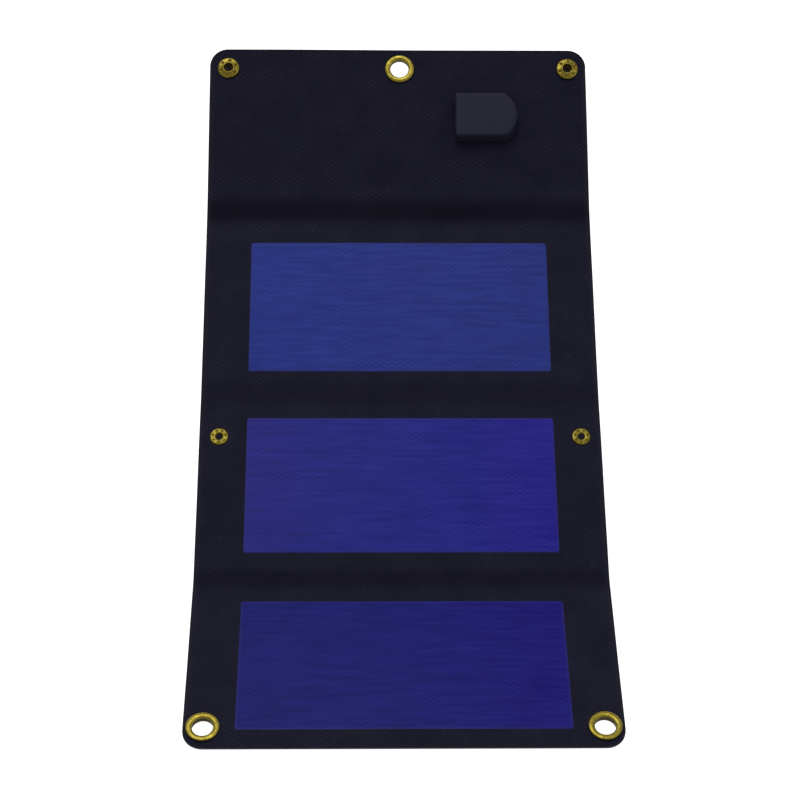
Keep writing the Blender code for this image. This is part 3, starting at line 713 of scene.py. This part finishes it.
def turned(name, profile, x, s, body, node, step=0.35, sides=96, press=None, dark=None, metal=BRASS):
    """A turned ring of brass about a point of the sheet, from a closed profile in millimetres.

    The profile is a list of (radius, height). press lowers the points of its upper face, and dark
    tells which parts of the profile get painted shade, a darker brass where shade falls.
    """
    profile = even(rounded(profile), step)
    radius, height = np.array(profile).T
    angle = np.linspace(0, 2 * math.pi, sides, endpoint=False)[:, None]
    along, across = radius * np.cos(angle), radius * np.sin(angle)
    lowered = height + press(along, across, height) if press else np.broadcast_to(height, along.shape)
    points = np.stack([along, across, lowered], -1).reshape(-1, 3) * MM
    index = np.arange(sides * len(radius)).reshape(sides, -1)
    after, up = np.roll(index, -1, 0), np.roll(index, -1, 1)
    faces = np.stack([index, after, np.roll(after, -1, 1), up], -1).reshape(-1, 4)
    turn = sum(r0 * h1 - r1 * h0 for (r0, h0), (r1, h1) in zip(profile, profile[1:] + profile[:1]))
    if turn < 0:
        faces = faces[:, ::-1]
    obj = new_object(name, points, faces, (metal, BRASS_PAINTED_SHADE))
    if dark:
        shaded = np.array([dark(r, h) for r, h in profile], int)
        obj.data.polygons.foreach_set("material_index", np.tile(shaded, sides))
    obj.data.transform(local_frame(x, s))
    smooth_shaded(obj.data, 50)
    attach(obj, body)
    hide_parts(node)


def dimples(count, ring, size, depth, least, phase):
    """Round dimples in a ring, pressed into a turned piece where it is higher than least."""
    turns = [phase + 2 * math.pi * i / count for i in range(count)]
    centres = [(ring * math.cos(a), ring * math.sin(a)) for a in turns]

    def press(x, y, height):
        drop = np.zeros(np.broadcast(x, y).shape)
        for cx, cy in centres:
            drop = drop + np.exp(-(((x - cx) ** 2 + (y - cy) ** 2) / size ** 2) ** 1.5)
        return -depth * drop * (height > least)

    return press


def eyelet(name, x, s, body, half):
    """The eyelet's barrel with its rolled front flange, and the washer behind with the barrel's curl."""
    f, b = half / MM, -half / MM
    barrel = [(8.35, f - 0.05), (8.6, f + 0.35), (8.45, f + 0.8), (7.9, f + 1.12), (6.9, f + 1.22),
              (5.95, f + 1.08), (5.35, f + 0.7), (5.2, f + 0.1), (5.45, b - 0.5), (5.6, b - 1.0),
              (6.1, b - 1.0), (6.4, b - 0.8), (6.2, b - 0.55), (5.7, b - 0.5), (5.55, f + 0.1),
              (5.9, f + 0.45), (6.8, f + 0.6), (7.7, f + 0.45), (8.0, f - 0.05)]
    # dark: painted shade on the barrel's inner wall and on the flange's foot at the cloth
    turned(name + "_barrel", barrel, x, s, body, name,
           dark=lambda r, h: (h < f + 0.35 and b - 0.4 < h and r < 5.54) or (r > 8.3 and h < f + 0.75))
    washer = [(5.9, b + 0.05), (5.9, b - 0.35), (6.5, b - 0.45), (6.85, b - 0.95), (7.5, b - 1.08),
              (8.15, b - 0.95), (8.35, b - 0.45), (8.35, b + 0.05)]
    turned(name + "_back_washer", washer, x, s, body, name + "_washer")


# in these profiles f is the height of the laminate's front face and b that of its back, in millimetres
for name, (x, s) in EYELETS.items():
    on_flap = s > A2
    eyelet(name, x, s, "flap" if on_flap else "section_3", FLAP_HALF if on_flap else SECTION_HALF)

for side, (x, s) in SOCKETS.items():
    f, b = FLAP_HALF / MM, -FLAP_HALF / MM
    ring = [(6.1, f - 0.05), (6.35, f + 0.5), (6.2, f + 1.1), (5.6, f + 1.45), (4.6, f + 1.62),
            (3.7, f + 1.85), (3.3, f + 2.15), (2.9, f + 2.2), (2.6, f + 1.95), (2.55, f + 1.5),
            (2.7, f + 0.5), (2.2, f + 0.3), (2.2, f - 0.05)]
    # dark: painted shade in the socket's hole and at its foot on the cloth
    turned(f"socket_{side}_ring", ring, x, s, "flap", f"snap_socket_{side}", step=0.18, sides=120,
           press=dimples(6, 4.75, 0.62, 0.8, f + 1.0, 0.35), metal=SNAP_BRASS,
           dark=lambda r, h: (r < 2.75 and h < f + 1.75) or (r > 6.08 and h < f + 0.8))
    cap = [(0.02, b - 1.1), (2.4, b - 1.05), (4.6, b - 0.85), (6.0, b - 0.5), (6.35, b - 0.2),
           (6.2, b + 0.05), (1.8, b + 0.05), (1.8, f + 0.35), (2.1, f + 0.4), (2.1, f + 0.55),
           (1.1, f + 0.6), (1.0, b - 0.3), (0.02, b - 0.4)]
    # dark: painted shade on the cap's neck through the cloth and in its middle
    turned(f"socket_{side}_cap", cap, x, s, "flap", f"snap_cap_{side}",
           dark=lambda r, h: h > b + 0.2 or (r < 1.3 and h > b - 0.6), metal=SNAP_BRASS)

for side, (x, s) in POSTS.items():
    f, b = SECTION_HALF / MM, -SECTION_HALF / MM
    post = [(4.95, f - 0.05), (5.15, f + 0.3), (5.0, f + 0.65), (4.5, f + 0.85), (3.4, f + 0.88),
            (2.4, f + 0.84), (1.8, f + 0.6), (1.6, f + 0.1), (1.6, b - 2.6), (1.9, b - 2.6), (1.9, f - 0.05)]
    # dark: painted shade in the post's hole and at its foot on the cloth
    turned(f"post_{side}_flange", post, x, s, "section_2", f"snap_post_{side}", step=0.18, sides=120,
           press=dimples(7, 3.55, 0.42, 0.5, f + 0.4, 0.2), metal=POST_BRASS,
           dark=lambda r, h: (r < 1.95 and h < f + 0.7) or (r > 4.97 and h < f + 0.45))
    stud = [(2.05, b + 0.05), (5.1, b + 0.05), (5.15, b - 0.45), (4.6, b - 0.75), (3.0, b - 0.85),
            (2.45, b - 1.2), (2.4, b - 1.9), (2.65, b - 2.6), (2.5, b - 3.25), (1.9, b - 3.6),
            (0.02, b - 3.62), (0.02, b - 3.0), (2.05, b - 3.0)]
    # dark: painted shade inside the stud
    turned(f"post_{side}_stud", stud, x, s, "section_2", f"snap_stud_{side}",
           dark=lambda r, h: r < 2.1 and h > b - 3.2, metal=POST_BRASS)


# ---- the USB box ----
BOX_LOW, BOX_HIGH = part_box("usb_box_base")
BOX_LEFT, BOX_RIGHT = BOX_LOW.x / MM, BOX_HIGH.x / MM
BOX_FRAME = local_frame(0.0, centre("usb_box_base")[1])
BOX_AXES = np.array(BOX_FRAME.to_3x3())


def in_box(node):
    """The lowest and highest corners of a CAD node in the box's own frame, in millimetres."""
    points = (cad_points(node) - np.array(BOX_FRAME.translation)) @ BOX_AXES / MM
    return points.min(0), points.max(0)


(_, BOX_FRONT, BASE_LOW), (_, BOX_BACK, BASE_TOP) = in_box("usb_box_base")
LID_LOW, LID_TOP = (corner[2] for corner in in_box("usb_box_lid"))
BOX_MIDDLE, BOX_HALF = (BOX_FRONT + BOX_BACK) / 2, (BOX_BACK - BOX_FRONT) / 2
END_RADIUS, FILLET, FLAT_END_FILLET = 16.8, 3.0, 0.9  # the bowed end, its corners and the flat end's corners
DRAFT, WALL = 0.8, 1.2  # how far the lid's sides lean in, and the shells' thickness


def bowed_outline(inset, port_inset):
    """The box from above, in millimetres: flat at the port, bowed at the other end."""
    half, middle = BOX_HALF - inset, BOX_MIDDLE
    radius, fillet = END_RADIUS - inset, max(FILLET - inset, 0.5)
    left, centre_x = BOX_LEFT + port_inset, BOX_RIGHT - END_RADIUS
    small = FLAT_END_FILLET
    lean = math.asin((half - fillet) / (radius - fillet))
    corner_x = centre_x + (radius - fillet) * math.cos(lean)
    quarter = math.pi / 2
    points = []

    def sweep(cx, cy, r, start, end, count):
        turns = [start + (end - start) * i / count for i in range(count + 1)]
        points.extend((cx + r * math.cos(a), middle + cy + r * math.sin(a)) for a in turns)

    def run(x0, y0, x1, y1, count):
        points.extend((x0 + (x1 - x0) * i / count, middle + y0 + (y1 - y0) * i / count)
                      for i in range(1, count))

    sweep(left + small, -half + small, small, 2 * quarter, 3 * quarter, 6)
    run(left + small, -half, corner_x, -half, 12)
    sweep(corner_x, -half + fillet, fillet, -quarter, -lean, 8)
    sweep(centre_x, 0, radius, -lean, lean, 28)
    sweep(corner_x, half - fillet, fillet, lean, quarter, 8)
    run(corner_x, half, left + small, half, 12)
    sweep(left + small, half - small, small, quarter, 2 * quarter, 6)
    run(left, half - small, left, -half + small, 10)
    return points


def stacked(name, levels, materials=()):
    """A closed solid through box outlines, each (inset, port_inset, height, scale about the middle)."""
    middle = ((BOX_LEFT + BOX_RIGHT) / 2, BOX_MIDDLE)
    rings = []
    for inset, port_inset, height, shrink in levels:
        rings.append([((px - middle[0]) * shrink + middle[0], (py - middle[1]) * shrink + middle[1], height)
                      for px, py in bowed_outline(inset, port_inset)])
    obj = loft(name, rings, materials)
    obj.data.transform(BOX_FRAME)
    return obj


def lid_levels(edge=1.35, crown=0.22):
    """The lid's leaning sides, its soft upper edge and its slightly crowned top."""
    rise = LID_TOP - crown - edge - LID_LOW
    levels = [(0.2, 0.15, LID_LOW, 1), (0.0, 0.0, LID_LOW + 0.2, 1)]
    levels += [(DRAFT * t, 0.0, LID_LOW + 0.2 + (rise - 0.2) * t, 1) for t in (0.33, 0.66)]
    for a in (math.pi / 20 * i for i in range(11)):
        turn_in = edge * (1 - math.cos(a))
        levels.append((DRAFT + turn_in, 0.7 * turn_in, LID_TOP - crown - edge * (1 - math.sin(a)), 1))
    rings = (0.94, 0.86, 0.76, 0.64, 0.5, 0.36, 0.22, 0.1, 0.02)
    return levels + [(DRAFT + edge, 0.7 * edge, LID_TOP - crown * k ** 2, k) for k in rings]


PORT_LOW, PORT_HIGH = in_box("usb_shell")
PORT_MIDDLE = (PORT_LOW + PORT_HIGH) / 2
PORT_HALF = (PORT_HIGH - PORT_LOW) / 2
PORT_GAP, PORT_SOFT, SHELL_SOFT, SHELL_WALL = 0.2, 0.6, 0.75, 0.35  # millimetres
QUARTERS = ((1, 1, 0), (-1, 1, 1), (-1, -1, 2), (1, -1, 3))  # a corner's signs and its first quarter turn


def port_ring(x, grow, soft, steps):
    """The port's section at a place along the box: a rectangle with round corners, grown on every side."""
    ring = []
    for sy, sz, start in QUARTERS:
        for i in range(steps + 1):
            a = math.pi / 2 * (start + i / steps)
            ring.append((x, PORT_MIDDLE[1] + sy * (PORT_HALF[1] + grow - soft) + soft * math.cos(a),
                         PORT_MIDDLE[2] + sz * (PORT_HALF[2] + grow - soft) + soft * math.sin(a)))
    return ring


def port_cutter(name):
    """A block through the flat end where the port opens, with rounded corners."""
    obj = loft(name, [port_ring(x, PORT_GAP, PORT_SOFT, 5) for x in (BOX_LEFT - 1, BOX_LEFT + 2.5)])
    obj.data.transform(BOX_FRAME)
    return obj


def usb_box():
    """The regulator box's two shells, hollow, with the opening for the port across their joint."""
    lid = stacked("usb_lid_shell", lid_levels(), (HOUSING,))
    hollow = stacked("lid_hollow", [(WALL, WALL, LID_LOW - 1, 1), (WALL, WALL, LID_LOW, 1),
                                    (WALL + DRAFT, WALL, LID_TOP - 2.0, 1),
                                    (WALL + 2.0, WALL, LID_TOP - 1.1, 1)])
    cut_away(lid, hollow, port_cutter("lid_port"))
    base = stacked("usb_base_shell", [(0.3, 0.3, BASE_LOW, 1), (0.0, 0.0, BASE_LOW + 0.3, 1),
                                      (0.0, 0.0, BASE_TOP - 0.2, 1), (0.2, 0.15, BASE_TOP, 1)], (HOUSING,))
    hollow = stacked("base_hollow", [(WALL, WALL, BASE_LOW + 1.0, 1), (WALL, WALL, BASE_TOP + 1, 1)])
    cut_away(base, hollow, port_cutter("base_port"))
    for piece, node in ((lid, "usb_box_lid"), (base, "usb_box_base")):
        smooth_shaded(piece.data, 32)
        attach(piece, "flap")
        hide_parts(node)


def port_shell(x0, x1):
    """The port's drawn shell between two places along the box, open at the first and shut at the other."""
    wall = SHELL_WALL
    levels = [(x1, 0), (x0 + 0.1, 0), (x0, 0.1), (x0, wall - 0.1), (x0 + 0.1, wall), (x1 - wall, wall)]
    rings = [port_ring(x, -inset, max(SHELL_SOFT - inset, 0.15), 6) for x, inset in levels]
    obj = loft("usb_port_shell", rings, (STEEL,), inward=True)
    obj.data.transform(BOX_FRAME)
    smooth_shaded(obj.data, 32)
    return obj


def slip(name, low, high, soft, materials):
    """A block in the box's frame with softened edges, in millimetres."""
    x0, y0, z0, x1, y1, z1 = *low, *high
    corners = [(x, y, z) for x in (x0, x1) for y in (y0, y1) for z in (z0, z1)]
    faces = [(0, 1, 3, 2), (4, 6, 7, 5), (0, 4, 5, 1), (2, 3, 7, 6), (0, 2, 6, 4), (1, 5, 7, 3)]
    obj = new_object(name, [tuple(c * MM for c in p) for p in corners], faces, materials)
    bevel = obj.modifiers.new("soft", "BEVEL")
    bevel.width, bevel.segments = soft * MM, 2
    baked(obj)
    obj.data.transform(BOX_FRAME)
    smooth_shaded(obj.data, 32)
    return obj


CONTACT_PITCH = 2.2


def port():
    """The port's drawn steel shell, its tongue and the four contacts under the tongue."""
    shell = port_shell(BOX_LEFT + 0.6, PORT_HIGH[0])
    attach(shell, "flap")
    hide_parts("usb_shell")
    low, high = in_box("usb_tongue")
    tongue = slip("usb_port_tongue", (BOX_LEFT + 1.6, low[1], low[2]), tuple(high), 0.25, (TONGUE,))
    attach(tongue, "flap")
    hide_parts("usb_tongue")
    for i in range(4):
        y = (low[1] + high[1]) / 2 + (i - 1.5) * CONTACT_PITCH
        contact = slip(f"usb_contact_{i + 1}", (BOX_LEFT + 2.2, y - 0.5, low[2] - 0.14),
                       (high[0] - 0.5, y + 0.5, low[2] + 0.1), 0.05, (BRASS,))
        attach(contact, "flap")


usb_box()
port()

# ---- the CAD pieces that stay ----
KEPT = {"circuit_board": CIRCUIT, "box_screw": STEEL, "cable": CABLE, "_board": STIFFENER}
for name, node in frame["nodes"].items():
    chosen = [material for key, material in KEPT.items() if key in name] or [CHIP]
    node.data.materials.clear()
    node.data.materials.append(chosen[0])

# ---- floor, light and world ----
floor_shader = Shader("pale_floor", Roughness=0.9)
floor_shader.bsdf.inputs["Base Color"].default_value = grey(0.88)
floor_shader.bsdf.inputs["Emission Color"].default_value = grey(1.0)
floor_shader.bsdf.inputs["Emission Strength"].default_value = 0.85
floor_shader.bsdf.inputs["Specular IOR Level"].default_value = 0.1
FLOOR_REACH, FLOOR_DROP = 3, 0.4 * MM
floor = new_object("floor", [(x * FLOOR_REACH, y * FLOOR_REACH, -FLOOR_DROP)
                             for x, y in ((-1, -1), (1, -1), (1, 1), (-1, 1))],
                   [(0, 1, 2, 3)], (floor_shader.material,))


def area_light(name, place, size, power):
    """A square softbox that faces the middle of the object; size in metres, power in watts."""
    light = bpy.data.lights.new(name, "AREA")
    light.shape, light.size, light.energy = "SQUARE", size, power
    obj = bpy.data.objects.new(name, light)
    obj.location = place
    obj.rotation_euler = (-Vector(place)).to_track_quat("-Z", "Y").to_euler()
    bpy.context.scene.collection.objects.link(obj)


area_light("key", (-0.25, 1.1, 1.5), 1.1, 13)
area_light("fill", (1.0, 0.2, 1.4), 1.0, 3)
world = bpy.data.worlds.new("studio")
world.use_nodes = True
world.node_tree.nodes["Background"].inputs["Color"].default_value = (1, 1, 1, 1)
world.node_tree.nodes["Background"].inputs["Strength"].default_value = 0.5
bpy.context.scene.world = world
bpy.context.scene.view_settings.view_transform = "Standard"
